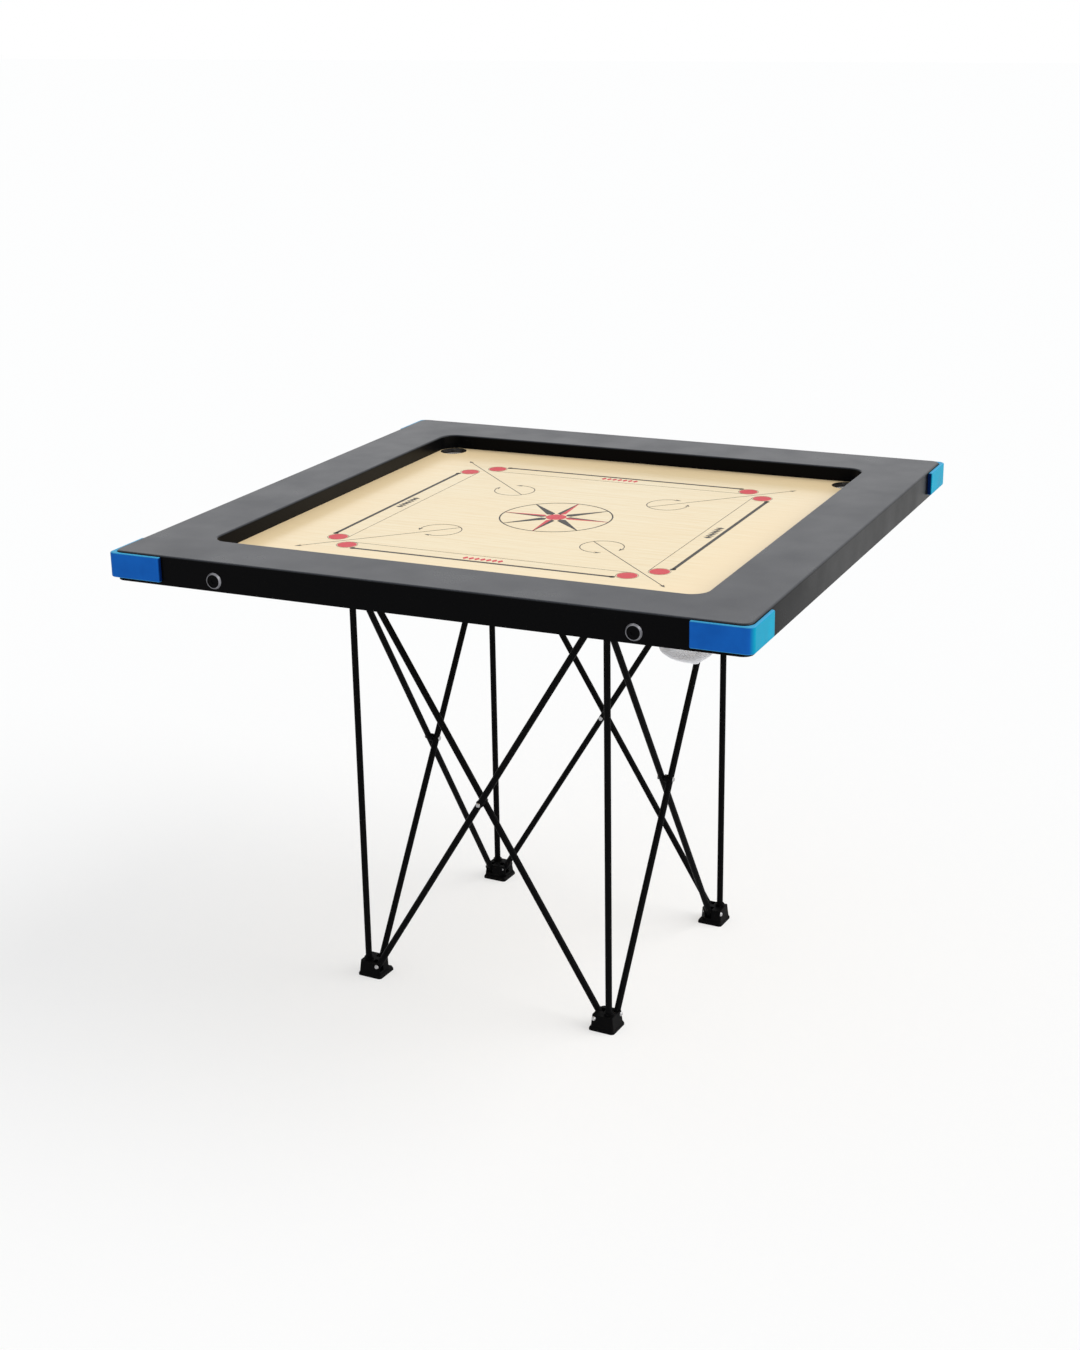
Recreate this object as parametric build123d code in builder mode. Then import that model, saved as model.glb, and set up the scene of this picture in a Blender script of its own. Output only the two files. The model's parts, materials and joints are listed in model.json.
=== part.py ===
"""Carrom board on its folding scissor stand.

Frame: X runs right along the front rail, Y runs from the front rail to the back one, +Z is up.
The origin is on the floor under the centre of the board. All sizes are in millimetres.

The board is a plywood surface in four mitred rails, with a netted pocket in each corner. It lies
loose on the stand, whose four sides are pairs of crossed bars. Every foot hub, top hub, post and
bar is drawn once, for the front left corner and the front side, and turned about the stand's axis
in quarter turns for the other three.
"""

import math
import os

from build123d import *

# ---- Board: driving dimensions ----
play_side = 740.0  # playing square, rail to rail
rail_width = 97.0
rail_height = 42.5
board_top_z = 740.0  # rail tops above the floor
play_drop = 22.5  # playing surface below the rail tops
outer_corner_r = 14.0
inner_corner_r = 25.0
rail_edge_r = 3.0  # rounding along the rail tops

ply_thickness = 8.0
ply_lap = 12.0  # width of ply that reaches under each rail
pocket_r = 22.25
pocket_rail_gap = 1.25  # between a pocket's edge and the rails beside it

batten_width = 80.0
batten_y = 202.0  # centre lines of the two long battens, either side of the board's centre
batten_end_gap = 3.6  # between a batten's end and the screw heads in the ply's edge

guard_leg = 78.0  # along each rail face, from the rails' corner
guard_thickness = 6.0
guard_top_gap = 2.0
guard_bottom_gap = 5.0
guard_corner_r = 10.0
guard_end_r = 3.0  # rounding of the upright edges at the ends
guard_edge_r = 2.0  # rounding round the top and the bottom

net_r = 33.0
net_wall = 1.5
net_bottom_flat_r = 4.0  # flat in the middle of the bag's bottom, inside its rounding
net_hem_inner_r = 23.5
tack_count = 8
tack_shank_r = 0.7
tack_head_r = 2.0
tack_head_height = 0.6
tack_length = 5.0

bolt_x = 309.0  # face screws, either side of their own centre line
bolt_shift = 5.0  # that centre line, right of the board's
bolt_drop = 27.5  # face screws below the rail tops
bolt_length = 70.0
bolt_shank_r = 3.0
bolt_head_r = 9.3
bolt_head_height = 1.2
bolt_socket_r = 4.0
bolt_socket_depth = 0.8
washer_r = 11.75
washer_height = 2.4
washer_taper = 35.0
washer_gap = 0.1  # round the screw head

screw_shank_r = 1.8
screw_head_r = 3.6
screw_head_height = 2.0
lip_screw_length = 20.0
lip_screw_inset = 6.0  # from the ply's edge
lip_screw_pitch = 220.0
batten_screw_length = 17.0
batten_screw_inset = 15.0  # from a batten's long edges
batten_screw_spread = 600.0  # along a batten, end screw to end screw
batten_screw_count = 4  # in each row along a batten

# ---- Stand: driving dimensions ----
stand_x = -24.0
stand_y = 3.0
stand_turn = -3.3  # degrees about the stand's upright axis
post_half = 210.0  # post centre line from the stand's axis
tube_r = 5.0
bar_end = 7.0  # bar beyond its end pivots
outer_plane = 3.3  # outer bar's centre line, outside the posts' line
inner_plane = 10.6  # inner bar's centre line, inside the posts' line
pivot_inset = 20.0  # end pivots from the post, along the side
foot_pivot_z = 19.0
top_pivot_drop = 63.0  # top pivots below the board's underside

slot_gap = 0.35  # beside a bar in its hub slot
end_gap = 0.5  # round a bar's sweeping end
cheek = 4.2
lug = 6.3  # hub beyond its pivot
foot_above_pivot = 6.0
foot_draft = 7.0  # degrees
top_above_pivot = 12.0
top_draft = 2.0  # degrees
hub_corner_r = 5.0
hub_back_chamfer = 11.0
pad_flare_out = 0.9
pad_flare_in = 2.1
pad_edge = 2.5
pad_height = 6.0
pad_slope = 30.0  # degrees, round the top of the pad
collar_wall = 2.2
collar_height = 4.0  # above the hub's body
socket_floor = 7.0
post_gap = 0.3  # post in its top socket
post_chamfer = 1.0
bar_chamfer = 0.6
seat_gap = 0.3  # under the board

rivet_r = 2.0
rivet_play = 0.05
rivet_head_r = 3.6
rivet_head_height = 1.6
rivet_head_slope = 30.0  # degrees
rivet_bite = 5.0  # past the far side of the slot
tail_gap = 0.3
tail_height = 1.2
spacer_r = 6.0

# ---- Worked out from the sizes above ----
play_half = play_side / 2
board_half = play_half + rail_width
board_bottom_z = board_top_z - rail_height
play_z = board_top_z - play_drop
ply_bottom_z = play_z - ply_thickness
ply_half = play_half + ply_lap
pocket_centre = play_half - pocket_r - pocket_rail_gap
batten_end = ply_half - lip_screw_inset - screw_head_r - batten_end_gap
guard_bottom_z = board_bottom_z + guard_bottom_gap
guard_height = rail_height - guard_top_gap - guard_bottom_gap
guard_side = 2 * (board_half + guard_thickness)
guard_reach = guard_leg + guard_thickness
guard_centre = board_half + guard_thickness - guard_reach / 2
net_bottom_r = net_r - net_bottom_flat_r
batten_screw_pitch = batten_screw_spread / (batten_screw_count - 1)

hub_out = outer_plane + tube_r + slot_gap + cheek
hub_in = pivot_inset + lug
slot_half = tube_r + slot_gap
end_sweep = math.hypot(bar_end, tube_r) + end_gap
top_pivot_z = board_bottom_z - seat_gap - top_pivot_drop
bar_run = 2 * (post_half - pivot_inset)
bar_rise = top_pivot_z - foot_pivot_z
bar_length = math.hypot(bar_run, bar_rise)
bar_angle = math.degrees(math.atan2(bar_rise, bar_run))
mid_z = (top_pivot_z + foot_pivot_z) / 2
post_top_z = board_bottom_z - seat_gap - socket_floor - post_gap

corners = ["front_left", "front_right", "back_right", "back_left"]
sides = ["front", "right", "back", "left"]
corner_signs = {
    "front_left": (-1, -1),
    "front_right": (1, -1),
    "back_right": (1, 1),
    "back_left": (-1, 1),
}
# How far each pocket's bag hangs below the ply: hand-gathered nets are never quite alike.
net_depths = {"front_left": 48.0, "front_right": 70.0, "back_right": 60.0, "back_left": 60.0}

os.makedirs("parts", exist_ok=True)


def save(part, name, spot=Location()):
    """Write one sub-part, carried to its place, as its own STEP file."""
    piece = part.moved(spot)
    piece.label = name
    export_step(piece, f"parts/{name}.step")


def on_stand(quarter):
    """Place of a stand piece after so many quarter turns about the stand's axis."""
    return Location((stand_x, stand_y, 0), (0, 0, stand_turn + 90 * quarter))


# ---- Board fasteners, drawn first because they also cut their own holes ----
def face_planes(lift):
    """Planes on the front and back rail faces at each face screw, looking outwards."""
    z = board_top_z - bolt_drop
    planes = []
    for facing in (-1, 1):
        for x in (-bolt_x, bolt_x):
            origin = (x + bolt_shift, facing * (board_half + lift), z)
            planes.append(Plane(origin=origin, x_dir=(1, 0, 0), z_dir=(0, facing, 0)))
    return planes


with BuildPart() as face_screws:
    with BuildSketch(*face_planes(0)):
        Circle(bolt_head_r)
    extrude(amount=bolt_head_height)
    with BuildSketch(*face_planes(0)):
        Circle(bolt_shank_r)
    extrude(amount=-bolt_length)
    with BuildSketch(*face_planes(bolt_head_height)):
        RegularPolygon(radius=bolt_socket_r, side_count=6)
    extrude(amount=-bolt_socket_depth, mode=Mode.SUBTRACT)
save(face_screws.part, "face_screws")

with BuildPart() as cup_washers:
    with BuildSketch(*face_planes(0)):
        Circle(washer_r)
    extrude(amount=washer_height, taper=washer_taper)
    with BuildSketch(*face_planes(0)):
        Circle(bolt_head_r + washer_gap)
    extrude(amount=washer_height, mode=Mode.SUBTRACT)
save(cup_washers.part, "cup_washers")


def countersunk_screws(spots, head_z, length):
    """Screws driven upwards at the given places, heads flush with head_z."""
    head_slope = math.degrees(math.atan2(screw_head_r - screw_shank_r, screw_head_height))
    with BuildPart() as screws:
        with BuildSketch(Plane.XY.offset(head_z)):
            with Locations(*spots):
                Circle(screw_head_r)
        extrude(amount=screw_head_height, taper=head_slope)
        with BuildSketch(Plane.XY.offset(head_z)):
            with Locations(*spots):
                Circle(screw_shank_r)
        extrude(amount=length)
    return screws.part


lip_line = ply_half - lip_screw_inset
lip_spots = []
for step in (-1, 0, 1):
    for edge in (-lip_line, lip_line):
        lip_spots.append((step * lip_screw_pitch, edge))
        lip_spots.append((edge, step * lip_screw_pitch))
surface_screws = countersunk_screws(lip_spots, ply_bottom_z, lip_screw_length)
save(surface_screws, "surface_screws")

batten_edge = batten_width / 2 - batten_screw_inset
centre_screw_y = (batten_y - batten_width / 2) / 2
batten_spots = []
batten_lines = [side * batten_y + edge for side in (-1, 1) for edge in (-batten_edge, batten_edge)]
for line in batten_lines:
    for step in range(batten_screw_count):
        batten_spots.append((step * batten_screw_pitch - batten_screw_spread / 2, line))
for y in (-centre_screw_y, centre_screw_y):
    for x in (-batten_edge, batten_edge):
        batten_spots.append((x, y))
batten_screws = countersunk_screws(batten_spots, board_bottom_z, batten_screw_length)
save(batten_screws, "batten_screws")

tack_ring_r = (net_hem_inner_r + net_r) / 2
with BuildPart() as net_tacks:
    with BuildSketch(Plane.XY.offset(ply_bottom_z - net_wall - tack_head_height)):
        with GridLocations(2 * pocket_centre, 2 * pocket_centre, 2, 2):
            with PolarLocations(tack_ring_r, tack_count):
                Circle(tack_head_r)
    extrude(amount=tack_head_height)
    with BuildSketch(Plane.XY.offset(ply_bottom_z - net_wall)):
        with GridLocations(2 * pocket_centre, 2 * pocket_centre, 2, 2):
            with PolarLocations(tack_ring_r, tack_count):
                Circle(tack_shank_r)
    extrude(amount=tack_length)
save(net_tacks.part, "net_tacks")

# ---- Playing surface ----
with BuildPart() as playing_surface:
    with BuildSketch(Plane.XY.offset(ply_bottom_z)):
        Rectangle(2 * ply_half, 2 * ply_half)
        with GridLocations(2 * pocket_centre, 2 * pocket_centre, 2, 2):
            Circle(pocket_r, mode=Mode.SUBTRACT)
    extrude(amount=ply_thickness)
    add(surface_screws, mode=Mode.SUBTRACT)
    add(batten_screws, mode=Mode.SUBTRACT)
    add(net_tacks.part, mode=Mode.SUBTRACT)
save(playing_surface.part, "playing_surface")


# ---- Rails: one square frame, mitred into four ----
def rail(quarter):
    """The rail on one side: the whole frame, cut back to its mitred quarter."""
    with BuildPart() as piece:
        with BuildSketch(Plane.XY.offset(board_bottom_z)):
            RectangleRounded(2 * board_half, 2 * board_half, outer_corner_r)
            RectangleRounded(play_side, play_side, inner_corner_r, mode=Mode.SUBTRACT)
        extrude(amount=rail_height)
        fillet(piece.faces().sort_by(Axis.Z)[-1].edges(), radius=rail_edge_r)
        with BuildSketch(Plane.XY.offset(board_bottom_z)):
            Rectangle(2 * ply_half, 2 * ply_half)
        extrude(amount=play_z - board_bottom_z, mode=Mode.SUBTRACT)
        add(face_screws.part, mode=Mode.SUBTRACT)
        add(surface_screws, mode=Mode.SUBTRACT)
        turned = Plane.XY.offset(board_bottom_z).rotated((0, 0, 90 * quarter))
        far = 2 * board_half
        with BuildSketch(turned):
            Polygon((0, 0), (-far, -far), (far, -far), align=None)
        extrude(amount=rail_height, mode=Mode.INTERSECT)
    return piece.part


for quarter, side in enumerate(sides):
    save(rail(quarter), f"rail_{side}")

# ---- Corner guards: moulded angles that wrap the outside of the rails' corners ----
for corner, (sign_x, sign_y) in corner_signs.items():
    with BuildPart() as guard:
        with BuildSketch(Plane.XY.offset(guard_bottom_z)) as plan:
            RectangleRounded(guard_side, guard_side, guard_corner_r)
            RectangleRounded(2 * board_half, 2 * board_half, outer_corner_r, mode=Mode.SUBTRACT)
            with Locations((sign_x * guard_centre, sign_y * guard_centre)):
                Rectangle(guard_reach, guard_reach, mode=Mode.INTERSECT)
            rail_corner = (sign_x * board_half, sign_y * board_half)
            fillet(plan.vertices().sort_by_distance(rail_corner)[-2:], radius=guard_end_r)
        extrude(amount=guard_height)
        fillet(guard.faces().filter_by(Axis.Z).edges(), radius=guard_edge_r)
    save(guard.part, f"corner_guard_{corner}")

# ---- Pocket nets: a hem tacked under the ply and a hanging bag ----
def bag_shape(depth, inset):
    """The bag as a solid, drawn in all round and at its bottom by the inset."""
    with BuildPart() as bag:
        with BuildSketch(Plane.XY.offset(ply_bottom_z)):
            Circle(net_r - inset)
        extrude(amount=inset - depth)
        fillet(bag.faces().sort_by(Axis.Z)[0].edges(), radius=net_bottom_r - inset)
    return bag.part


for corner, (sign_x, sign_y) in corner_signs.items():
    with BuildPart() as net:
        add(bag_shape(net_depths[corner], 0))
        add(bag_shape(net_depths[corner], net_wall), mode=Mode.SUBTRACT)
        with BuildSketch(Plane.XY.offset(ply_bottom_z)):
            Circle(net_r)
            Circle(net_hem_inner_r, mode=Mode.SUBTRACT)
            with PolarLocations(tack_ring_r, tack_count):
                Circle(tack_shank_r, mode=Mode.SUBTRACT)
        extrude(amount=-net_wall)
    save(net.part, f"pocket_net_{corner}", Location((sign_x * pocket_centre, sign_y * pocket_centre, 0)))

# ---- Battens under the ply ----
batten_thickness = ply_bottom_z - board_bottom_z
for name, centre_y in (("batten_front", -batten_y), ("batten_back", batten_y)):
    with BuildPart() as batten:
        with BuildSketch(Plane.XY.offset(board_bottom_z)):
            with Locations((0, centre_y)):
                Rectangle(2 * batten_end, batten_width)
        extrude(amount=batten_thickness)
        add(batten_screws, mode=Mode.SUBTRACT)
    save(batten.part, name)

with BuildPart() as batten_centre:
    with BuildSketch(Plane.XY.offset(board_bottom_z)):
        Rectangle(batten_width, 2 * batten_y - batten_width)
    extrude(amount=batten_thickness)
    add(batten_screws, mode=Mode.SUBTRACT)
save(batten_centre.part, "batten_centre")


# ---- Hubs ----
# A hub is drawn standing on its pad with the post at the origin. Its first slot holds a bar that
# runs along +X, its second a bar that runs along +Y.
def hub(pivot_height, above_pivot, draft, socket_r):
    """A moulded corner hub with a post socket, two bar slots and their pivot holes."""
    middle = (hub_in - hub_out) / 2
    body_side = hub_in + hub_out
    body_height = pivot_height + above_pivot
    collar_r = tube_r + collar_wall
    pad_side = body_side + pad_flare_out + pad_flare_in
    pad_middle = middle + (pad_flare_in - pad_flare_out) / 2
    with BuildPart() as piece:
        with BuildSketch():
            with Locations((middle, middle)):
                RectangleRounded(body_side, body_side, hub_corner_r)
        extrude(amount=body_height, taper=draft)
        with BuildSketch():
            with Locations((hub_in, hub_in)):
                Rectangle(hub_back_chamfer * math.sqrt(2), body_side, rotation=45)
        extrude(amount=body_height, mode=Mode.SUBTRACT)
        with BuildSketch():
            with Locations((pad_middle, pad_middle)):
                RectangleRounded(pad_side, pad_side, hub_corner_r)
        extrude(amount=pad_edge)
        with BuildSketch(Plane.XY.offset(pad_edge)):
            with Locations((pad_middle, pad_middle)):
                RectangleRounded(pad_side, pad_side, hub_corner_r)
        extrude(amount=pad_height - pad_edge, taper=pad_slope)
        with BuildSketch():
            Circle(collar_r)
        extrude(amount=body_height + collar_height)
        with BuildSketch(Plane.XY.offset(socket_floor)):
            Circle(socket_r)
        extrude(amount=body_height + collar_height, mode=Mode.SUBTRACT)
        slot_start = pivot_inset - end_sweep
        slot_length = pad_side
        slot_depth = end_sweep + above_pivot
        with Locations((slot_start, -outer_plane, pivot_height - end_sweep)):
            Box(slot_length, 2 * slot_half, slot_depth,
                align=(Align.MIN, Align.CENTER, Align.MIN), mode=Mode.SUBTRACT)
        with Locations((inner_plane, slot_start, pivot_height - end_sweep)):
            Box(2 * slot_half, slot_length, slot_depth,
                align=(Align.CENTER, Align.MIN, Align.MIN), mode=Mode.SUBTRACT)
        add(hub_rivets(pivot_height, draft), mode=Mode.SUBTRACT)
    return piece.part


def hub_rivets(pivot_height, draft):
    """The two rivets of a hub, domed heads on its outer faces, one through each slot."""
    draft_at_pivot = pivot_height * math.tan(math.radians(draft))
    face = hub_out - draft_at_pivot
    outer_reach = -outer_plane + slot_half + rivet_bite
    inner_reach = inner_plane + slot_half + rivet_bite
    front = Plane(origin=(pivot_inset, -face, pivot_height), x_dir=(1, 0, 0), z_dir=(0, -1, 0))
    left = Plane(origin=(-face, pivot_inset, pivot_height), x_dir=(0, -1, 0), z_dir=(-1, 0, 0))
    with BuildPart() as rivets:
        for plane, reach in ((front, outer_reach), (left, inner_reach)):
            with BuildSketch(plane):
                Circle(rivet_head_r)
            extrude(amount=rivet_head_height, taper=rivet_head_slope)
            with BuildSketch(plane):
                Circle(rivet_r)
            extrude(amount=-(face + reach))
    return rivets.part


flip = Location((0, 0, board_bottom_z - seat_gap), (180, 0, 0)) * Location((0, 0, 0), (0, 0, -90))
foot_hub = hub(foot_pivot_z, foot_above_pivot, foot_draft, tube_r)
foot_rivets = hub_rivets(foot_pivot_z, foot_draft)
top_hub = hub(top_pivot_drop, top_above_pivot, top_draft, tube_r + post_gap)
top_rivets = hub_rivets(top_pivot_drop, top_draft)
at_corner = Location((-post_half, -post_half, 0))
for quarter, corner in enumerate(corners):
    save(foot_hub, f"foot_hub_{corner}", on_stand(quarter) * at_corner)
    save(foot_rivets, f"foot_rivets_{corner}", on_stand(quarter) * at_corner)
    save(top_hub, f"top_hub_{corner}", on_stand(quarter) * at_corner * flip)
    save(top_rivets, f"top_rivets_{corner}", on_stand(quarter) * at_corner * flip)

# ---- Posts ----
with BuildPart() as post:
    with BuildSketch(Plane.XY.offset(socket_floor)):
        Circle(tube_r)
    extrude(amount=post_top_z - socket_floor)
    chamfer(post.faces().sort_by(Axis.Z)[-1].edges(), length=post_chamfer)
for quarter, corner in enumerate(corners):
    save(post.part, f"post_{corner}", on_stand(quarter) * at_corner)


# ---- Crossed bars of the front side ----
def bar(y, lean, mid_hole_r):
    """A bar of the front side in the plane at y, rising to the right (lean 1) or the left (-1)."""
    direction = (lean * bar_run / bar_length, 0, bar_rise / bar_length)
    axis_plane = Plane(origin=(0, y, mid_z), x_dir=(0, 1, 0), z_dir=direction)
    half = bar_length / 2
    with BuildPart() as piece:
        with BuildSketch(axis_plane.offset(-half - bar_end)):
            Circle(tube_r)
        extrude(amount=bar_length + 2 * bar_end)
        chamfer(piece.faces().filter_by(GeomType.PLANE).edges(), length=bar_chamfer)
        with BuildSketch(Plane.XZ.offset(-y)):
            with Locations((-lean * bar_run / 2, foot_pivot_z), (lean * bar_run / 2, top_pivot_z)):
                Circle(rivet_r + rivet_play)
            with Locations((0, mid_z)):
                Circle(mid_hole_r)
        extrude(amount=2 * tube_r, both=True, mode=Mode.SUBTRACT)
    return piece.part


outer_y = -post_half - outer_plane
inner_y = -post_half + inner_plane
outer_bar = bar(outer_y, 1, rivet_r)
inner_bar = bar(inner_y, -1, rivet_r + rivet_play)

# The crossing pivot: a rivet fixed in the outer bar, with a spacer between the two bars.
head_y = outer_y - tube_r
spacer_end_y = inner_y - tube_r - tail_gap
tail_y = inner_y + tube_r + tail_gap
with BuildPart() as cross_rivet:
    with BuildSketch(Plane.XZ.offset(-head_y)):
        with Locations((0, mid_z)):
            Circle(rivet_head_r)
    extrude(amount=rivet_head_height, taper=rivet_head_slope)
    with BuildSketch(Plane.XZ.offset(-head_y)):
        with Locations((0, mid_z)):
            Circle(rivet_r)
    extrude(amount=-(tail_y - head_y))
    with BuildSketch(Plane.XZ.offset(-tail_y)):
        with Locations((0, mid_z)):
            Circle(rivet_head_r)
    extrude(amount=-tail_height)

with BuildPart() as cross_spacer:
    with BuildSketch(Plane.XZ.offset(-outer_y)):
        with Locations((0, mid_z)):
            Circle(spacer_r)
            Circle(rivet_r, mode=Mode.SUBTRACT)
    extrude(amount=-(spacer_end_y - outer_y))
    add(outer_bar, mode=Mode.SUBTRACT)

for quarter, side in enumerate(sides):
    save(outer_bar, f"bar_{side}_outer", on_stand(quarter))
    save(inner_bar, f"bar_{side}_inner", on_stand(quarter))
    save(cross_rivet.part, f"cross_rivet_{side}", on_stand(quarter))
    save(cross_spacer.part, f"cross_spacer_{side}", on_stand(quarter))
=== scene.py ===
"""Looks of the carrom board and its folding stand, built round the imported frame.

Metres, +Z up, X right along the front rail, Y from the front rail to the back one. The CAD nodes
keep their shapes and get their finishes here. The printed markings and the four corner nets are
modelled here.
"""

import json
import math

import bmesh
import bpy
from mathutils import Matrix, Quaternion, Vector


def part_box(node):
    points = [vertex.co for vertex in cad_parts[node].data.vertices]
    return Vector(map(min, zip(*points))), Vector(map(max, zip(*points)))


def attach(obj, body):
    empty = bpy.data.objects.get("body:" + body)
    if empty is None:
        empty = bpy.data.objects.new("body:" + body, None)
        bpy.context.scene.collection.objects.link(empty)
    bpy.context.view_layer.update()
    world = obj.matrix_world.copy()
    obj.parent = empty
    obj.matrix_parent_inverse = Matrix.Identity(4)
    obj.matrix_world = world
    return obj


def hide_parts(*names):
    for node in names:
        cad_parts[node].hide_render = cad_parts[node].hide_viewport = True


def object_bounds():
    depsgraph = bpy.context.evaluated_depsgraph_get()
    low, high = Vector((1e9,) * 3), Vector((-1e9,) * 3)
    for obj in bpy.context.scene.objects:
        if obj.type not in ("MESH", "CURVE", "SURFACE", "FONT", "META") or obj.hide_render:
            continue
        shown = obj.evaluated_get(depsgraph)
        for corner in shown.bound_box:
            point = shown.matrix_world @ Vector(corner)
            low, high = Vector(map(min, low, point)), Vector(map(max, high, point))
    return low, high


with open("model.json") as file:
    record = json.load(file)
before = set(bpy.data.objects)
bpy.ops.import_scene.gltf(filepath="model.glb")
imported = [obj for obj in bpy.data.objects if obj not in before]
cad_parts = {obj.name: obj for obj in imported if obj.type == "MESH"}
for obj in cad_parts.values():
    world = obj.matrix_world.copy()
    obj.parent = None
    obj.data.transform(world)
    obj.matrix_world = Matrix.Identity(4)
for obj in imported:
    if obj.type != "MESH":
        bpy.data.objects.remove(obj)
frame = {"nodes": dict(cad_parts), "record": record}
cad_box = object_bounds()

CORNERS = ("front_left", "front_right", "back_right", "back_left")

# ---- Places and sizes of the board, from the frame ----
PLY_LAP = 0.012  # ply that reaches under each rail
surface_low, surface_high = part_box("playing_surface")
play_z = surface_high.z
play_half = surface_high.x - PLY_LAP

# ---- Printed markings ----
INK_HEIGHT = 0.00012
INK_SINK = 0.00006  # part of the ink that lies in the ply's surface
BASE_LINE_OUT = 0.1028  # from a rail to the outer base line's outer edge
BASE_BAND = 0.0318  # between the two base lines, and across a base circle
BASE_LENGTH = 0.4665
OUTER_LINE = 0.0055
OUTER_LINE_END_R = 0.0042  # round blob on each end of an outer line
OUTER_LINE_GAP = 0.0165  # from a base circle's centre to that blob's
INNER_LINE = 0.0008
RING_LINE = 0.0006
BASE_FILL_R = 0.0142
CENTRE_R = 0.085
CENTRE_LINE = 0.0022
CENTRE_DISC_R = 0.0155
STAR_RAYS = 8
STAR_HALF_WIDTH = 0.0066
STAR_TIP_HALF_WIDTH = 0.0008
STAR_WAIST = 0.021  # where a ray is widest, from the centre
ARROW_LINE = 0.0013
ARROW_START = 0.1508  # from the board's centre, along the diagonal
ARROW_END = 0.4030
LOOP_R = 0.03175
LOOP_GAP = math.radians(25)  # either side of the arrow's shaft
HEAD_LENGTH = 0.0105
HEAD_WIDTH = 0.0070
HEAD_NOTCH = 0.75  # from an arrow head's tip to the notch in its tail, as a share of its length
LOZENGE_COUNT = 7  # in the plain row between the base lines
LOZENGE_PITCH = 0.0090
LOZENGE_LENGTH = 0.0084
LOZENGE_WIDTH = 0.0135
RING_STEPS = 72  # round a whole circle
LEAST_ARC_STEPS = 8
WHOLE_TURN = math.tau - 1e-6  # an arc at least this long is a closed ring


def slab(bm, outline):
    """A thin closed plate of ink with the given outline, anticlockwise, on the ply."""
    low = [bm.verts.new((x, y, play_z - INK_SINK)) for x, y in outline]
    high = [bm.verts.new((x, y, play_z + INK_HEIGHT)) for x, y in outline]
    bm.faces.new(high)
    bm.faces.new(reversed(low))
    for i in range(len(outline)):
        j = (i + 1) % len(outline)
        bm.faces.new((low[i], low[j], high[j], high[i]))


def arc_band(bm, centre, radius, width, start=0.0, end=math.tau):
    """A curved stripe of ink about a centre; the whole turn makes a closed ring."""
    whole = end - start > WHOLE_TURN
    steps = max(LEAST_ARC_STEPS, round(RING_STEPS * (end - start) / math.tau))
    rows = []
    for i in range(steps if whole else steps + 1):
        angle = start + (end - start) * i / steps
        ray = Vector((math.cos(angle), math.sin(angle)))
        inner = centre + ray * (radius - width / 2)
        outer = centre + ray * (radius + width / 2)
        heights = (play_z - INK_SINK, play_z + INK_HEIGHT)
        rows.append([bm.verts.new((p.x, p.y, z)) for p in (inner, outer) for z in heights])
    pairs = list(zip(rows, rows[1:]))
    if whole:
        pairs.append((rows[-1], rows[0]))
    else:
        bm.faces.new((rows[0][0], rows[0][2], rows[0][3], rows[0][1]))
        bm.faces.new((rows[-1][0], rows[-1][1], rows[-1][3], rows[-1][2]))
    for a, b in pairs:
        for i, j in ((0, 1), (1, 3), (3, 2), (2, 0)):
            bm.faces.new((a[i], a[j], b[j], b[i]))


def disc(bm, centre, radius):
    """A filled circle of ink."""
    turn = [math.tau * i / RING_STEPS for i in range(RING_STEPS)]
    slab(bm, [(centre.x + radius * math.cos(a), centre.y + radius * math.sin(a)) for a in turn])


def stripe(bm, start, end, width):
    """A straight stripe of ink from one point to another."""
    along = (end - start).normalized()
    aside = Vector((-along.y, along.x)) * width / 2
    slab(bm, [tuple(p) for p in (start - aside, end - aside, end + aside, start + aside)])


def arrow_head(bm, tip, direction):
    """A small filled arrow head that points along a direction."""
    along = direction.normalized()
    aside = Vector((-along.y, along.x)) * HEAD_WIDTH / 2
    tail = tip - along * HEAD_LENGTH
    notch = tip - along * HEAD_LENGTH * HEAD_NOTCH
    slab(bm, [tuple(p) for p in (tip, tail + aside, notch, tail - aside)])


def on_side(quarter, x, y):
    """A point of the front side's drawing, turned to the side after so many quarter turns."""
    for _ in range(quarter):
        x, y = -y, x
    return Vector((x, y))


def piece_from(name, draw, body, material):
    """A mesh piece drawn by a function, riding on a body, in one material."""
    bm = bmesh.new()
    draw(bm)
    bmesh.ops.recalc_face_normals(bm, faces=bm.faces)
    mesh = bpy.data.meshes.new(name)
    bm.to_mesh(mesh)
    bm.free()
    obj = bpy.data.objects.new(name, mesh)
    bpy.context.scene.collection.objects.link(obj)
    obj.data.materials.append(material)
    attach(obj, body)
    return obj


base_y = -(play_half - BASE_LINE_OUT)
band_y = base_y + BASE_BAND / 2
circle_x = BASE_LENGTH / 2 - BASE_BAND / 2


def draw_base_lines(bm):
    """The heavy outer line of each side's base."""
    for quarter in range(4):
        y = base_y + OUTER_LINE / 2
        reach = circle_x - OUTER_LINE_GAP
        stripe(bm, on_side(quarter, -reach, y), on_side(quarter, reach, y), OUTER_LINE)


def draw_line_ends(bm):
    """A round blob on each end of each heavy line."""
    for quarter in range(4):
        y = base_y + OUTER_LINE / 2
        for x in (OUTER_LINE_GAP - circle_x, circle_x - OUTER_LINE_GAP):
            disc(bm, on_side(quarter, x, y), OUTER_LINE_END_R)


def draw_lozenges(bm, quarters):
    """A plain row of small lozenges in the middle of the band between two base lines."""
    half = Vector((LOZENGE_LENGTH / 2, LOZENGE_WIDTH / 2))
    for quarter in quarters:
        for step in range(LOZENGE_COUNT):
            x = (step - (LOZENGE_COUNT - 1) / 2) * LOZENGE_PITCH
            corners = [(x + half.x, band_y), (x, band_y + half.y), (x - half.x, band_y), (x, band_y - half.y)]
            slab(bm, [tuple(on_side(quarter, *corner)) for corner in corners])


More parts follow.
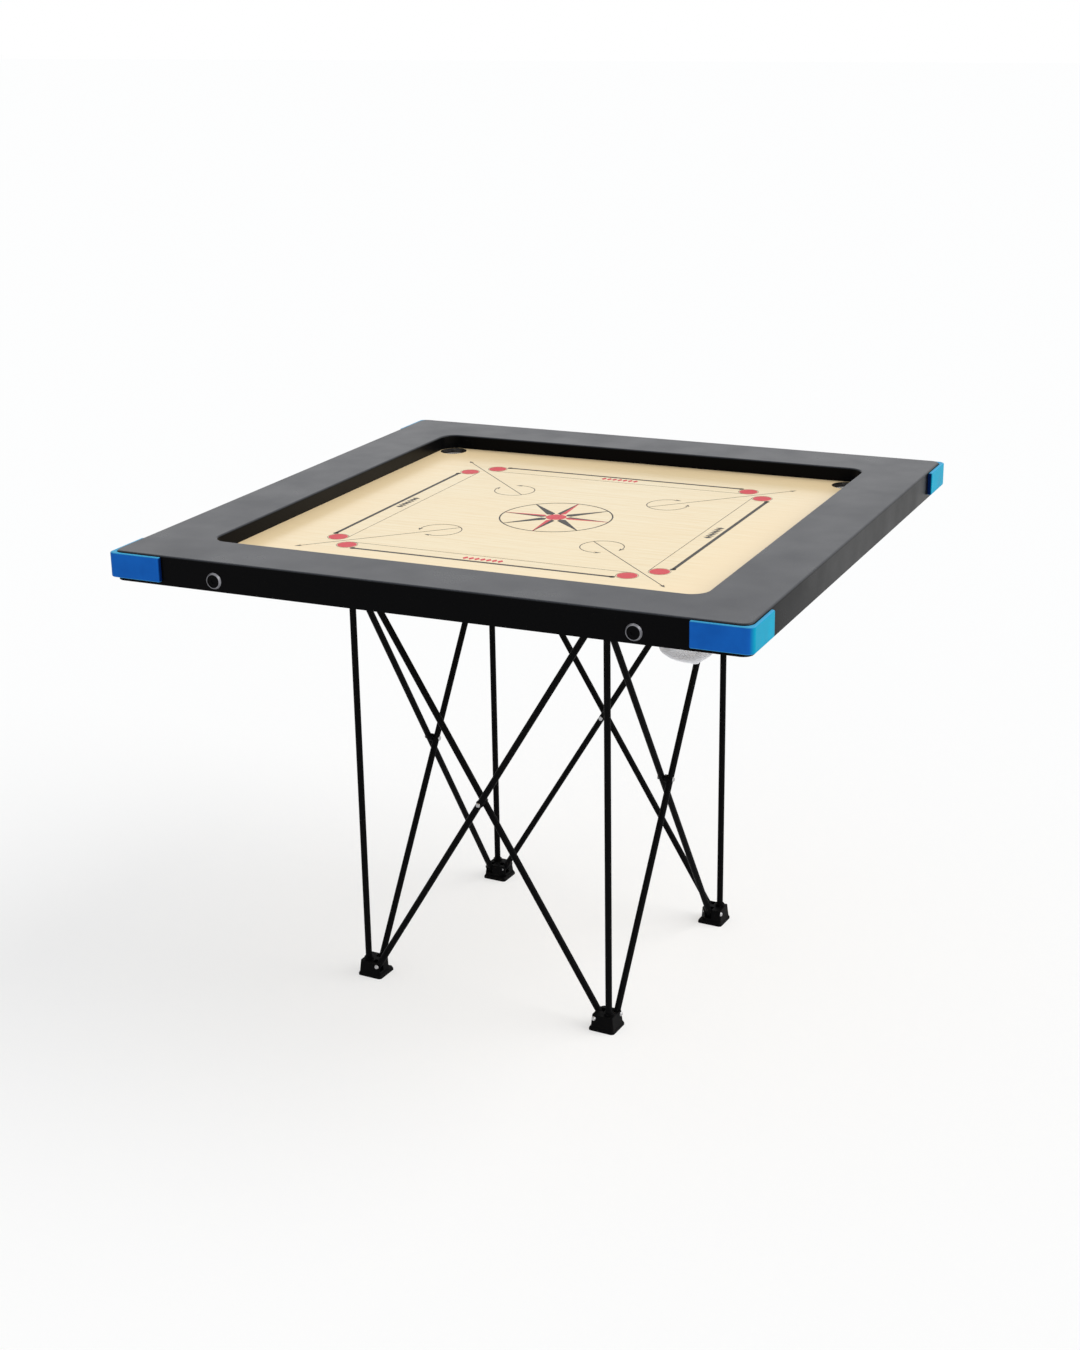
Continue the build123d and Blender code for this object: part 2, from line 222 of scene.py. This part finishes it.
def draw_inner_lines(bm):
    """The fine inner line of each side's base."""
    for quarter in range(4):
        y = base_y + BASE_BAND - INNER_LINE / 2
        stripe(bm, on_side(quarter, -circle_x, y), on_side(quarter, circle_x, y), INNER_LINE)


def draw_base_rings(bm):
    """The fine ring round each base circle."""
    for quarter in range(4):
        for x in (-circle_x, circle_x):
            arc_band(bm, on_side(quarter, x, band_y), (BASE_BAND - RING_LINE) / 2, RING_LINE)


def draw_base_discs(bm):
    """The filled middle of each base circle."""
    for quarter in range(4):
        for x in (-circle_x, circle_x):
            disc(bm, on_side(quarter, x, band_y), BASE_FILL_R)


def draw_centre_circle(bm):
    """The circle round the star."""
    arc_band(bm, Vector((0, 0)), CENTRE_R, CENTRE_LINE)


def draw_ray(bm, angle, side):
    """One half of a star ray, on the left (1) or right (-1) of its centre line."""
    along = Vector((math.cos(angle), math.sin(angle)))
    aside = Vector((-along.y, along.x)) * side
    points = [along * CENTRE_DISC_R, along * CENTRE_R, along * CENTRE_R + aside * STAR_TIP_HALF_WIDTH,
              along * STAR_WAIST + aside * STAR_HALF_WIDTH]
    if side < 0:
        points.reverse()
    slab(bm, [tuple(p) for p in points])


def draw_star_black(bm):
    """The left half of every ray, and the right half of every second one."""
    for step in range(STAR_RAYS):
        angle = step * math.tau / STAR_RAYS
        draw_ray(bm, angle, 1)
        if step % 2:
            draw_ray(bm, angle, -1)


def draw_star_red(bm):
    """The star's centre, and the right half of the other rays."""
    disc(bm, Vector((0, 0)), CENTRE_DISC_R)
    for step in range(0, STAR_RAYS, 2):
        draw_ray(bm, step * math.tau / STAR_RAYS, -1)


def draw_corner_arrows(bm):
    """In each corner an arrow along the diagonal, and a two-headed loop about its start."""
    loop_centre = ARROW_START + LOOP_R
    for quarter in range(4):
        diagonal = -math.pi / 4 + quarter * math.pi / 2
        along = Vector((math.cos(diagonal), math.sin(diagonal)))
        stripe(bm, along * ARROW_START, along * (ARROW_END - HEAD_LENGTH * HEAD_NOTCH), ARROW_LINE)
        arrow_head(bm, along * ARROW_END, along)
        centre = along * loop_centre
        arc_band(bm, centre, LOOP_R, ARROW_LINE, diagonal + LOOP_GAP + HEAD_LENGTH / LOOP_R,
                 diagonal + math.tau - LOOP_GAP - HEAD_LENGTH / LOOP_R)
        for side in (-1, 1):
            angle = diagonal + side * LOOP_GAP
            tip = centre + LOOP_R * Vector((math.cos(angle), math.sin(angle)))
            lag = angle + side * HEAD_LENGTH / LOOP_R
            tail = centre + LOOP_R * Vector((math.cos(lag), math.sin(lag)))
            arrow_head(bm, tip, tip - tail)


# ---- Corner nets ----
CORD_R = 0.00042
CORD_STAND_OFF = 0.6  # of its radius, for one set outwards and for the other inwards
CORDS = 60  # each way round a bag
CORD_STEPS = 34
TWIST = 2.5  # radians that a cord turns on its way down
BAG_FULLNESS = 11  # how late the bag draws in to its tie; more is later
BAG_BULGE = 0.18  # how much wider the loose bag is than its hem
BAG_SAG = -0.0105  # sideways, of the loose bag, away from its tie
BAG_TIP = 0.0075  # sideways, of the tie
BAG_TIP_POWER = 18
BAG_LIFT = 0.0020  # of the bag's bottom above the net's lowest point
FIRST_LEAN = -2.17  # front left tie's side, in radians from +X; each next one turns a quarter
TIE_SHARE = 0.13  # radius of the gathered bottom, as a share of the bag's
FOLDS = 7
FOLD_DEPTH = 0.055
FOLD_TWIST = 2.2  # radians
TIE_CORD_R = 2 * CORD_R
TIE_CORD_SIDES = 8
HEM_HEIGHT = 0.0014
HEM_CHAMFER = HEM_HEIGHT / 4
HEM_INNER_R = 0.0236


def bag_point(bag, down, angle, lift):
    """A point of a bag: down runs from 0 at the hem to 1 at the gathered bottom."""
    centre, radius, top, bottom, lean = bag
    depth = 1 - (1 - down) ** 2
    loose = depth * depth * (3 - 2 * depth)
    tip = depth ** BAG_TIP_POWER
    share = 1 - (1 - TIE_SHARE) * depth ** BAG_FULLNESS
    folds = FOLD_DEPTH * math.sin(math.pi * depth) * math.sin(FOLDS * angle + FOLD_TWIST * depth)
    reach = radius * share * (1 + BAG_BULGE * loose + folds) + lift
    shift = BAG_SAG * loose * (1 - tip) + BAG_TIP * tip
    x = centre.x + reach * math.cos(angle) + shift * math.cos(lean)
    y = centre.y + reach * math.sin(angle) + shift * math.sin(lean)
    return Vector((x, y, top + (bottom - top) * depth))


def tube(bm, points, outwards, radius):
    """A closed four-sided cord through points, with a direction that faces outwards at each."""
    rings = []
    for i, (point, out) in enumerate(zip(points, outwards)):
        ahead = points[min(i + 1, len(points) - 1)] - points[max(i - 1, 0)]
        aside = ahead.cross(out).normalized()
        up = aside.cross(ahead).normalized()
        corners = (up, aside, -up, -aside)
        rings.append([bm.verts.new(point + corner * radius) for corner in corners])
    for a, b in zip(rings, rings[1:]):
        for i in range(4):
            j = (i + 1) % 4
            bm.faces.new((a[i], a[j], b[j], b[i]))
    bm.faces.new(rings[0])
    bm.faces.new(reversed(rings[-1]))


def turned_ring(bm, centre, profile):
    """A closed ring whose section is a loop of (radius, z) points."""
    rows = []
    for i in range(RING_STEPS):
        angle = math.tau * i / RING_STEPS
        x, y = math.cos(angle), math.sin(angle)
        rows.append([bm.verts.new((centre.x + r * x, centre.y + r * y, z)) for r, z in profile])
    for i, row in enumerate(rows):
        after = rows[(i + 1) % RING_STEPS]
        for k in range(len(profile)):
            m = (k + 1) % len(profile)
            bm.faces.new((row[k], row[m], after[m], after[k]))


def net_drawer(corner, lean):
    """The function that draws one corner's net: a hem, two crossing sets of cords and a tie."""
    low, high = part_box(f"pocket_net_{corner}")
    centre = (low + high) / 2
    radius = (high.x - low.x) / 2 - 2 * CORD_R
    top = high.z - HEM_HEIGHT / 2
    bag = (centre, radius, top, low.z + BAG_LIFT, lean)

    def draw(bm):
        for way in (-1, 1):
            for k in range(CORDS):
                points, outwards = [], []
                for i in range(CORD_STEPS + 1):
                    down = i / CORD_STEPS
                    angle = math.tau * k / CORDS + way * TWIST * down
                    points.append(bag_point(bag, down, angle, way * CORD_R * CORD_STAND_OFF))
                    outwards.append(Vector((math.cos(angle), math.sin(angle), -down)))
                tube(bm, points, outwards, CORD_R)
        outer = radius + CORD_R
        edge = HEM_CHAMFER
        turned_ring(bm, centre, [
            (HEM_INNER_R + edge, high.z), (outer - edge, high.z),
            (outer, high.z - edge), (outer, high.z - HEM_HEIGHT + edge),
            (outer - edge, high.z - HEM_HEIGHT), (HEM_INNER_R + edge, high.z - HEM_HEIGHT),
            (HEM_INNER_R, high.z - HEM_HEIGHT + edge), (HEM_INNER_R, high.z - edge),
        ])
        tie_centre = centre + BAG_TIP * Vector((math.cos(lean), math.sin(lean), 0))
        tie_r = radius * TIE_SHARE * (1 + BAG_BULGE)
        tie_z = low.z + BAG_LIFT
        loop = [(tie_r + TIE_CORD_R * math.cos(a), tie_z + TIE_CORD_R * math.sin(a))
                for a in [math.tau * i / TIE_CORD_SIDES for i in range(TIE_CORD_SIDES)]]
        turned_ring(bm, tie_centre, loop)

    return draw


# ---- Materials ----
def material(name, **values):
    """A new node material, with constant values set on its shader's own sockets."""
    made = bpy.data.materials.new(name)
    made.use_nodes = True
    shader = made.node_tree.nodes["Principled BSDF"]
    for socket, value in values.items():
        shader.inputs[socket.replace("_", " ")].default_value = value
    return made, shader


def mapped(made, stretch=(1, 1, 1)):
    """Object coordinates, stretched, so that a pattern keeps to its piece."""
    nodes, links = made.node_tree.nodes, made.node_tree.links
    place = nodes.new("ShaderNodeTexCoord")
    scale = nodes.new("ShaderNodeMapping")
    scale.inputs["Scale"].default_value = stretch
    links.new(place.outputs["Object"], scale.inputs["Vector"])
    return scale.outputs["Vector"]


def noise(made, vector, scale, detail=3.0, roughness=0.5, distortion=0.0):
    """A noise value, from 0 to 1, over the given coordinates."""
    node = made.node_tree.nodes.new("ShaderNodeTexNoise")
    node.inputs["Scale"].default_value = scale
    node.inputs["Detail"].default_value = detail
    node.inputs["Roughness"].default_value = roughness
    node.inputs["Distortion"].default_value = distortion
    made.node_tree.links.new(vector, node.inputs["Vector"])
    return node.outputs["Fac"]


def ramp(made, value, stops):
    """A colour ramp over a value; stops are (position, (r, g, b))."""
    node = made.node_tree.nodes.new("ShaderNodeValToRGB")
    elements = node.color_ramp.elements
    while len(elements) < len(stops):
        elements.new(0.5)
    for element, (position, colour) in zip(elements, stops):
        element.position = position
        element.color = (*colour, 1)
    made.node_tree.links.new(value, node.inputs["Fac"])
    return node.outputs["Color"]


def mix(made, share, a, b, blend="MIX"):
    """One colour over another; share, a and b are sockets or plain values."""
    node = made.node_tree.nodes.new("ShaderNodeMix")
    node.data_type = "RGBA"
    node.blend_type = blend
    for socket, value in ((node.inputs["Factor"], share), (node.inputs[6], a), (node.inputs[7], b)):
        if isinstance(value, bpy.types.NodeSocket):
            made.node_tree.links.new(value, socket)
        elif isinstance(value, tuple):
            socket.default_value = (*value, 1)
        else:
            socket.default_value = value
    return node.outputs[2]


def spread(made, value, low, high, start=0.3, end=0.7):
    """A value mapped from one range to another."""
    node = made.node_tree.nodes.new("ShaderNodeMapRange")
    node.inputs["From Min"].default_value = start
    node.inputs["From Max"].default_value = end
    node.inputs["To Min"].default_value = low
    node.inputs["To Max"].default_value = high
    made.node_tree.links.new(value, node.inputs["Value"])
    return node.outputs["Result"]


def face_share(made, axis, start, end):
    """How far a surface faces along an axis, either way, from 0 at start to 1 at end."""
    nodes, links = made.node_tree.nodes, made.node_tree.links
    place = nodes.new("ShaderNodeTexCoord")
    split = nodes.new("ShaderNodeSeparateXYZ")
    size = nodes.new("ShaderNodeMath")
    size.operation = "ABSOLUTE"
    links.new(place.outputs["Normal"], split.inputs["Vector"])
    links.new(split.outputs[axis], size.inputs[0])
    return spread(made, size.outputs[0], 0.0, 1.0, start, end)


def place(made, axis):
    """The coordinate of a surface point along an axis."""
    nodes, links = made.node_tree.nodes, made.node_tree.links
    coordinates = nodes.new("ShaderNodeTexCoord")
    split = nodes.new("ShaderNodeSeparateXYZ")
    links.new(coordinates.outputs["Object"], split.inputs["Vector"])
    return split.outputs[axis]


def place_share(made, axis, start, end):
    """How far out a point lies along an axis, either way, from 0 at start to 1 at end."""
    size = made.node_tree.nodes.new("ShaderNodeMath")
    size.operation = "ABSOLUTE"
    made.node_tree.links.new(place(made, axis), size.inputs[0])
    return spread(made, size.outputs[0], 0.0, 1.0, start, end)


def bump(made, shader, value, distance, strength=1.0):
    """Fine relief on the shader from a value."""
    node = made.node_tree.nodes.new("ShaderNodeBump")
    node.inputs["Strength"].default_value = strength
    node.inputs["Distance"].default_value = distance
    made.node_tree.links.new(value, node.inputs["Height"])
    made.node_tree.links.new(node.outputs["Normal"], shader.inputs["Normal"])


def link(made, socket, target):
    """Joins one node's output to another's input."""
    made.node_tree.links.new(socket, target)


RAIL_SIDE_PAINTED_LIGHT = (1.00, 0.775, 0.46)  # painted light: the ply's lighter, warmer tone beside the rails, painted against the shade and darker reflection the rails give there
RAIL_SIDE_PAINTED_LIGHT_START = 0.25  # where it begins, from the board's centre
PLY_LAYER_SCALE = 98.0  # of the bands on the cut edges


def birch_material():
    """Varnished birch ply: long faint grain, warm patches, painted light beside the rails, and cut edges
    painted near black as painted shade in the pockets.
    """
    made, shader = material("birch_ply", IOR=1.45)
    along_x = mapped(made, stretch=(3.0, 70.0, 20.0))
    grain = noise(made, along_x, scale=4.0, detail=5.0, roughness=0.6, distortion=0.4)
    patches = noise(made, mapped(made), scale=3.2, detail=2.0)
    pores = noise(made, mapped(made, stretch=(40.0, 900.0, 900.0)), scale=1.0, detail=2.0)
    wood = ramp(made, grain, [(0.28, (0.83, 0.655, 0.385)), (0.5, (0.88, 0.73, 0.455)),
                              (0.72, (0.91, 0.79, 0.53))])
    warm = mix(made, spread(made, patches, 0.0, 0.3), wood, (0.90, 0.68, 0.40))
    # painted light: the ply lightened and warmed towards the rails, where the rails shade it
    painted_light_x = place_share(made, "X", RAIL_SIDE_PAINTED_LIGHT_START, play_half)
    painted_light_y = place_share(made, "Y", RAIL_SIDE_PAINTED_LIGHT_START, play_half)
    painted_light_wood = mix(made, painted_light_y, mix(made, painted_light_x, warm, RAIL_SIDE_PAINTED_LIGHT), RAIL_SIDE_PAINTED_LIGHT)
    pore_share = spread(made, pores, 0.0, 0.10, start=0.55, end=0.8)
    top = mix(made, pore_share, painted_light_wood, (0.62, 0.42, 0.23))
    layers = made.node_tree.nodes.new("ShaderNodeTexWave")
    layers.bands_direction = "Z"
    layers.inputs["Scale"].default_value = PLY_LAYER_SCALE
    layers.inputs["Distortion"].default_value = 0.6
    link(made, mapped(made), layers.inputs["Vector"])
    # painted shade: the cut edges, the pockets' walls among them, near black for the darkness inside the
    # pockets
    edge = ramp(made, layers.outputs["Fac"], [(0.3, (0.007, 0.006, 0.005)), (0.7, (0.024, 0.019, 0.014))])
    link(made, mix(made, face_share(made, "Z", 0.3, 0.6), edge, top), shader.inputs["Base Color"])
    link(made, spread(made, patches, 0.17, 0.26), shader.inputs["Roughness"])
    bump(made, shader, grain, distance=0.00003, strength=0.35)
    return made


RAIL_TOP_GLOSS = 0.5
RAIL_FRONT_GLOSS = 0.08


def rail_material():
    """Satin black lacquer with fine flecks; painted light: lit charcoal on the top faces and shaded deep
    black on the upright faces.
    """
    made, shader = material("rail_lacquer", IOR=1.29)
    fine = noise(made, mapped(made), scale=900.0, detail=3.0, roughness=0.7)
    cloud = noise(made, mapped(made), scale=14.0, detail=3.0)
    upward = face_share(made, "Z", 0.25, 0.95)
    sideways = face_share(made, "X", 0.3, 0.9)
    # painted light: top faces lighter charcoal as if lit, upright faces deep black as if shaded, by which way
    # a face looks
    top = ramp(made, fine, [(0.3, (0.018, 0.020, 0.025)), (0.5, (0.036, 0.039, 0.047)),
                            (0.7, (0.070, 0.075, 0.088))])
    face = ramp(made, fine, [(0.3, (0.0010, 0.0010, 0.0012)), (0.7, (0.0030, 0.0030, 0.0034))])
    link(made, mix(made, upward, face, top), shader.inputs["Base Color"])
    side_gloss = spread(made, place(made, "Y"), 0.05, 0.19, start=-0.40, end=-0.05)
    upright_gloss = mix(made, sideways, (RAIL_FRONT_GLOSS,) * 3, side_gloss)
    gloss = mix(made, upward, upright_gloss, (RAIL_TOP_GLOSS,) * 3)
    link(made, gloss, shader.inputs["Specular IOR Level"])
    link(made, spread(made, cloud, 0.27, 0.36), shader.inputs["Roughness"])
    bump(made, shader, fine, distance=0.00006, strength=0.35)
    return made


GUARD_FACE_IN = 0.010  # a face that lies this far in from the guards' outer face is an end face
GUARD_FACE_OUT = 0.006  # and one within this is an outer face


def guard_material():
    """Moulded blue plastic with painted light: lit lighter and greener on top and on the faces towards the
    board's sides, shaded blue on the front faces, painted dark at its ends.
    """
    made, shader = material("guard_plastic", IOR=1.08)
    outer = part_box("corner_guard_front_right")[1].x
    cloud = noise(made, mapped(made), scale=30.0, detail=3.0)
    fine = noise(made, mapped(made), scale=1300.0, detail=2.0)
    # painted light: lit and shaded copies of the blue, front faces shaded, side faces lit
    front = ramp(made, cloud, [(0.3, (0.008, 0.106, 0.45)), (0.7, (0.010, 0.134, 0.54))])
    side = ramp(made, cloud, [(0.3, (0.004, 0.270, 0.425)), (0.7, (0.006, 0.325, 0.495))])
    # painted shade: the guards' end faces near navy black
    end = ramp(made, cloud, [(0.3, (0.001, 0.012, 0.085)), (0.7, (0.001, 0.018, 0.110))])
    # painted highlight: the guards' top faces and rounded top edges lighter
    painted_rim_highlight = ramp(made, cloud, [(0.3, (0.050, 0.330, 0.580)), (0.7, (0.065, 0.400, 0.650))])
    inmost, outmost = outer - GUARD_FACE_IN, outer - GUARD_FACE_OUT
    along = mix(made, place_share(made, "Y", inmost, outmost), end, front)
    across = mix(made, place_share(made, "X", inmost, outmost), end, side)
    upright = mix(made, face_share(made, "X", 0.45, 0.95), along, across)
    colour = mix(made, face_share(made, "Z", 0.35, 0.85), upright, painted_rim_highlight)
    link(made, colour, shader.inputs["Base Color"])
    link(made, spread(made, cloud, 0.30, 0.40), shader.inputs["Roughness"])
    bump(made, shader, fine, distance=0.00004, strength=0.4)
    return made


def batten_material():
    """Planed softwood with the grain along the batten."""
    made, shader = material("batten_softwood", IOR=1.4)
    along_x = mapped(made, stretch=(2.0, 55.0, 55.0))
    grain = noise(made, along_x, scale=3.0, detail=5.0, roughness=0.6, distortion=0.8)
    colour = ramp(made, grain, [(0.3, (0.34, 0.19, 0.085)), (0.55, (0.55, 0.36, 0.18)),
                                (0.75, (0.64, 0.45, 0.25))])
    link(made, colour, shader.inputs["Base Color"])
    link(made, spread(made, grain, 0.62, 0.5), shader.inputs["Roughness"])
    bump(made, shader, grain, distance=0.0001, strength=0.5)
    return made


def black_coat(name, dark, light, roughness, fine_scale, ior):
    """A black finish with fine relief: powder coat, moulded nylon or black oxide."""
    made, shader = material(name, IOR=ior)
    fine = noise(made, mapped(made), fine_scale, detail=3.0, roughness=0.6)
    cloud = noise(made, mapped(made), scale=40.0, detail=2.0)
    tone = ramp(made, fine, [(0.3, (dark,) * 3), (0.7, (light, light, light * 1.1))])
    link(made, tone, shader.inputs["Base Color"])
    link(made, spread(made, cloud, roughness - 0.05, roughness + 0.06), shader.inputs["Roughness"])
    bump(made, shader, fine, distance=0.00002, strength=0.3)
    return made


def metal(name, dark, light, roughness, fine_scale):
    """A plated or bright metal with faint marks."""
    made, shader = material(name, Metallic=1.0)
    fine = noise(made, mapped(made), fine_scale, detail=4.0, roughness=0.6)
    cloud = noise(made, mapped(made), scale=120.0, detail=2.0)
    link(made, ramp(made, cloud, [(0.3, dark), (0.7, light)]), shader.inputs["Base Color"])
    link(made, spread(made, fine, roughness - 0.07, roughness + 0.08), shader.inputs["Roughness"])
    bump(made, shader, fine, distance=0.00004, strength=0.3)
    return made


def cord_material():
    """White nylon cord, slightly grey in its twist."""
    made, shader = material("net_cord", IOR=1.4, Roughness=0.6)
    twist = noise(made, mapped(made), scale=1100.0, detail=2.0)
    colour = ramp(made, twist, [(0.3, (0.80, 0.80, 0.83)), (0.7, (0.92, 0.92, 0.94))])
    link(made, colour, shader.inputs["Base Color"])
    bump(made, shader, twist, distance=0.0001, strength=0.5)
    return made


def ink_material(name, dark, light):
    """Screen-printed ink, a little uneven."""
    made, shader = material(name, IOR=1.22)
    fine = noise(made, mapped(made), scale=600.0, detail=3.0)
    link(made, ramp(made, fine, [(0.3, dark), (0.7, light)]), shader.inputs["Base Color"])
    link(made, spread(made, fine, 0.28, 0.36), shader.inputs["Roughness"])
    return made


finishes = {
    "play_birch": birch_material(),
    "rail_lacquer": rail_material(),
    "guard_blue": guard_material(),
    "batten_wood": batten_material(),
    "screw_black": black_coat("screw_oxide", dark=0.0015, light=0.0040, roughness=0.36,
                              fine_scale=700.0, ior=1.10),
    "stand_tube": black_coat("tube_powder_coat", dark=0.0025, light=0.0060, roughness=0.42,
                             fine_scale=900.0, ior=1.08),
    "hub_plastic": black_coat("hub_nylon", dark=0.0015, light=0.0045, roughness=0.48,
                              fine_scale=1300.0, ior=1.10),
    "nickel": metal("cup_nickel", dark=(0.19, 0.19, 0.21), light=(0.32, 0.32, 0.34),
                    roughness=0.40, fine_scale=500.0),
    "zinc": metal("zinc_plate", dark=(0.48, 0.49, 0.46), light=(0.62, 0.62, 0.60),
                  roughness=0.38, fine_scale=700.0),
    "rivet_steel": metal("rivet_bright", dark=(0.36, 0.36, 0.37), light=(0.52, 0.52, 0.53),
                         roughness=0.34, fine_scale=600.0),
    "net_cord": cord_material(),
}
ink_black = ink_material("ink_black", (0.010, 0.008, 0.005), (0.024, 0.020, 0.013))
ink_red = ink_material("ink_red", (0.60, 0.028, 0.045), (0.72, 0.045, 0.065))

for part in frame["record"]["subparts"]:
    node = frame["nodes"][part["node"]]
    node.data.materials.clear()
    node.data.materials.append(finishes[part["material_slot"]])

for name, draw, ink in (
    ("print_base_lines", draw_base_lines, ink_black),
    ("print_line_ends", draw_line_ends, ink_black),
    ("print_inner_lines", draw_inner_lines, ink_black),
    ("print_lozenges_red", lambda bm: draw_lozenges(bm, (0, 2)), ink_red),
    ("print_lozenges_black", lambda bm: draw_lozenges(bm, (1, 3)), ink_black),
    ("print_base_rings", draw_base_rings, ink_black),
    ("print_base_discs", draw_base_discs, ink_red),
    ("print_centre_circle", draw_centre_circle, ink_black),
    ("print_star_black", draw_star_black, ink_black),
    ("print_star_red", draw_star_red, ink_red),
    ("print_corner_arrows", draw_corner_arrows, ink_black),
):
    piece_from(name, draw, "board", ink)

for quarter, corner in enumerate(CORNERS):
    lean = FIRST_LEAN + quarter * math.pi / 2
    net = piece_from(f"net_bag_{corner}", net_drawer(corner, lean), "board",
                     finishes["net_cord"])
    for polygon in net.data.polygons:
        polygon.use_smooth = True
    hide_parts(f"pocket_net_{corner}")


# ---- Stage, light and camera ----
FLOOR_HALF = 30.0
FLOOR_TONE = 0.95
FLOOR_GLOW = 0.55  # how much of the floor's own tone gives way to white where it is background
SKY_LIGHT = 0.62
SUN_FROM = Vector((0.74, 0.30, 0.60))
SUN_POWER = 2.2
SUN_SPREAD = math.radians(55)
SUN_COLOUR = (1.0, 0.99, 0.97)
SKY_COLOUR = (0.96, 0.98, 1.0)
CAMERA_PLACE = Vector((1.2327, -2.7408, 1.5003))
CAMERA_AIM = Vector((0.0053, -0.0785, 0.4926))
CAMERA_ROLL = math.radians(-0.925)
CAMERA_LENS = 55.0  # mm
CAMERA_SENSOR = 36.0  # mm, along the picture's long side


def background_share(made):
    """1 for the rays that see the pale background: camera, glossy and transmission rays."""
    nodes, links = made.node_tree.nodes, made.node_tree.links
    path = nodes.new("ShaderNodeLightPath")
    total = path.outputs["Is Camera Ray"]
    for kind in ("Is Glossy Ray", "Is Transmission Ray"):
        adder = nodes.new("ShaderNodeMath")
        adder.operation = "ADD"
        adder.use_clamp = True
        links.new(total, adder.inputs[0])
        links.new(path.outputs[kind], adder.inputs[1])
        total = adder.outputs[0]
    return total


def make_floor():
    """A plain pale floor that keeps the object's shadow, and is clear when seen from beneath."""
    mesh = bpy.data.meshes.new("floor")
    z = cad_box[0].z
    corners = [(x, y, z) for x, y in ((-1, -1), (1, -1), (1, 1), (-1, 1))]
    mesh.from_pydata([(x * FLOOR_HALF, y * FLOOR_HALF, z) for x, y, z in corners], [], [(0, 1, 2, 3)])
    floor = bpy.data.objects.new("floor", mesh)
    bpy.context.scene.collection.objects.link(floor)
    made = bpy.data.materials.new("floor_paper")
    made.use_nodes = True
    nodes, links = made.node_tree.nodes, made.node_tree.links
    nodes.remove(nodes["Principled BSDF"])
    paper = nodes.new("ShaderNodeBsdfDiffuse")
    paper.inputs["Color"].default_value = (FLOOR_TONE,) * 3 + (1,)
    glow = nodes.new("ShaderNodeEmission")
    glow_share = nodes.new("ShaderNodeMath")
    glow_share.operation = "MULTIPLY"
    glow_share.inputs[1].default_value = FLOOR_GLOW
    blend = nodes.new("ShaderNodeMixShader")
    links.new(background_share(made), glow_share.inputs[0])
    links.new(glow_share.outputs[0], blend.inputs["Fac"])
    links.new(paper.outputs["BSDF"], blend.inputs[1])
    links.new(glow.outputs["Emission"], blend.inputs[2])
    beneath = nodes.new("ShaderNodeNewGeometry")
    clear = nodes.new("ShaderNodeBsdfTransparent")
    open_below = nodes.new("ShaderNodeMixShader")
    links.new(beneath.outputs["Backfacing"], open_below.inputs["Fac"])
    links.new(blend.outputs["Shader"], open_below.inputs[1])
    links.new(clear.outputs["BSDF"], open_below.inputs[2])
    links.new(open_below.outputs["Shader"], nodes["Material Output"].inputs["Surface"])
    mesh.materials.append(made)


def make_world():
    """Soft light from all round, and a white background."""
    world = bpy.data.worlds.new("studio")
    bpy.context.scene.world = world
    world.use_nodes = True
    nodes, links = world.node_tree.nodes, world.node_tree.links
    light = nodes["Background"]
    light.inputs["Color"].default_value = (*SKY_COLOUR, 1)
    light.inputs["Strength"].default_value = SKY_LIGHT
    white = nodes.new("ShaderNodeBackground")
    white.inputs["Color"].default_value = (1, 1, 1, 1)
    blend = nodes.new("ShaderNodeMixShader")
    links.new(background_share(world), blend.inputs["Fac"])
    links.new(light.outputs["Background"], blend.inputs[1])
    links.new(white.outputs["Background"], blend.inputs[2])
    links.new(blend.outputs["Shader"], nodes["World Output"].inputs["Surface"])


def make_sun():
    """A broad soft light from the right and a little behind."""
    lamp = bpy.data.lights.new("soft_key", "SUN")
    lamp.energy = SUN_POWER
    lamp.angle = SUN_SPREAD
    lamp.color = SUN_COLOUR
    sun = bpy.data.objects.new("soft_key", lamp)
    sun.rotation_euler = SUN_FROM.to_track_quat("Z", "Y").to_euler()
    bpy.context.scene.collection.objects.link(sun)


def make_camera():
    """The camera, at the product's own viewing angle."""
    data = bpy.data.cameras.new("camera")
    data.lens = CAMERA_LENS
    data.sensor_width = CAMERA_SENSOR
    camera = bpy.data.objects.new("camera", data)
    camera.location = CAMERA_PLACE
    camera.rotation_mode = "QUATERNION"
    aim = (CAMERA_AIM - CAMERA_PLACE).to_track_quat("-Z", "Y")
    camera.rotation_quaternion = aim @ Quaternion((0, 0, 1), CAMERA_ROLL)
    bpy.context.scene.collection.objects.link(camera)
    bpy.context.scene.camera = camera


make_floor()
make_world()
make_sun()
make_camera()
bpy.context.scene.view_settings.view_transform = "Standard"
